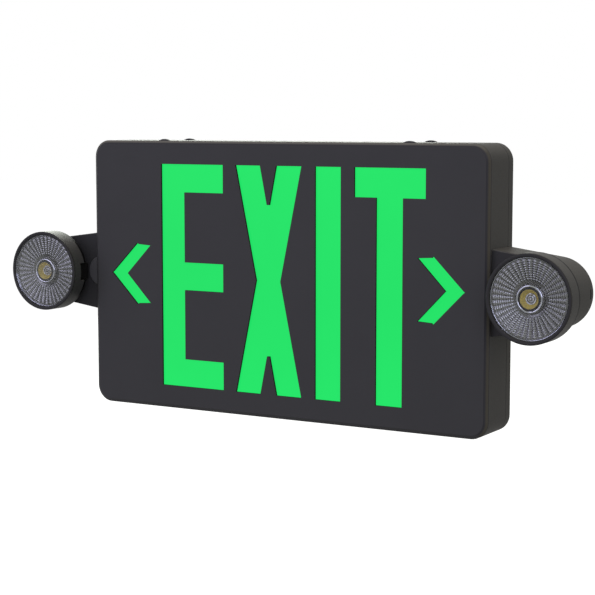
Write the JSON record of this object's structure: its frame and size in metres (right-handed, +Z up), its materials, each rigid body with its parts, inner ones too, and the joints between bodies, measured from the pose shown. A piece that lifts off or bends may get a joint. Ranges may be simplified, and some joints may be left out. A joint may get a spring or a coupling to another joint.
{
  "type": "emergency exit light",
  "caption": "Slim rectangular wall exit sign with a green-lit legend and chevrons, and a round adjustable lamp head on a tapered arm at each side.",
  "frame": {"origin": "centre of the wire entry in the rear face, in the plane that lies on the wall", "axes": "+X along the width to the reader's right, +Y into the wall, +Z up"},
  "size_m": [0.4226, 0.0544, 0.185],
  "materials": {
    "black_plastic": "fine matt moulded thermoplastic, very dark grey",
    "green_diffuser": "translucent green diffuser, lit from behind",
    "white_plastic": "matt white",
    "circuit_board": "solder-masked glass laminate",
    "led_phosphor": "yellow phosphor",
    "iron_core": "varnished",
    "black_component": "moulded epoxy",
    "red_plastic": "gloss",
    "indicator_lens": "translucent",
    "battery_wrap": "shrink sleeve",
    "zinc_steel": "zinc plated",
    "spring_steel": "bright",
    "clear_lens": "clear moulded",
    "silvered_plastic": "vacuum-silvered moulding"
  },
  "bodies": {
    "sign": {"arm_cover_left": "black_plastic", "arm_cover_right": "black_plastic", "arm_left": "black_plastic", "arm_right": "black_plastic", "arm_screws": "zinc_steel", "back_plate": "black_plastic", "battery_clip": "zinc_steel", "battery_pack": "battery_wrap", "board_parts": "black_component", "board_screws": "zinc_steel", "charge_indicator": "indicator_lens", "clip_screws": "zinc_steel", "control_board": "circuit_board", "cover_screws": "zinc_steel", "face_plate": "black_plastic", "housing": "black_plastic", "led_strip_bottom": "circuit_board", "led_strip_top": "circuit_board", "legend_lens": "green_diffuser", "light_tray": "white_plastic", "port_cover_left": "black_plastic", "port_cover_right": "black_plastic", "sign_leds": "led_phosphor", "test_switch": "black_component", "transformer": "iron_core"},
    "swivel_right": {"swivel_hub_right": "black_plastic", "friction_washer_right": "spring_steel", "hub_nut_right": "zinc_steel"},
    "lamp_right": {"hinge_pin_right": "spring_steel", "lamp_shell_right": "black_plastic", "lamp_bezel_right": "black_plastic", "lamp_glass_right": "clear_lens", "lamp_reflector_right": "silvered_plastic", "lamp_optic_right": "clear_lens", "lamp_led_right": "led_phosphor", "lamp_board_right": "circuit_board"},
    "swivel_left": {"swivel_hub_left": "black_plastic", "friction_washer_left": "spring_steel", "hub_nut_left": "zinc_steel"},
    "lamp_left": {"hinge_pin_left": "spring_steel", "lamp_shell_left": "black_plastic", "lamp_bezel_left": "black_plastic", "lamp_glass_left": "clear_lens", "lamp_reflector_left": "silvered_plastic", "lamp_optic_left": "clear_lens", "lamp_led_left": "led_phosphor", "lamp_board_left": "circuit_board"},
    "button": {"test_button": "red_plastic"}
  },
  "joints": [
    {"name": "swivel_right_turn", "type": "hinge", "parent": "sign", "child": "swivel_right", "pos_m": [0.18355, -0.032, 0], "axis": [0, 1, 0], "range_deg": [-170, 170]},
    {"name": "lamp_right_tilt", "type": "hinge", "parent": "swivel_right", "child": "lamp_right", "pos_m": [0.16155, -0.0431, 0], "axis": [0, 0, -1], "range_deg": [0, 90]},
    {"name": "swivel_left_turn", "type": "hinge", "parent": "sign", "child": "swivel_left", "pos_m": [-0.18355, -0.032, 0], "axis": [0, 1, 0], "range_deg": [-170, 170]},
    {"name": "lamp_left_tilt", "type": "hinge", "parent": "swivel_left", "child": "lamp_left", "pos_m": [-0.16155, -0.0431, 0], "axis": [0, 0, 1], "range_deg": [0, 90]},
    {"name": "test_button_press", "type": "slide", "parent": "sign", "child": "button", "axis": [0, 0, 1], "range_m": [0, 0.0015], "stiffness_N_per_m": 500, "springref_m": -0.0005}
  ]
}
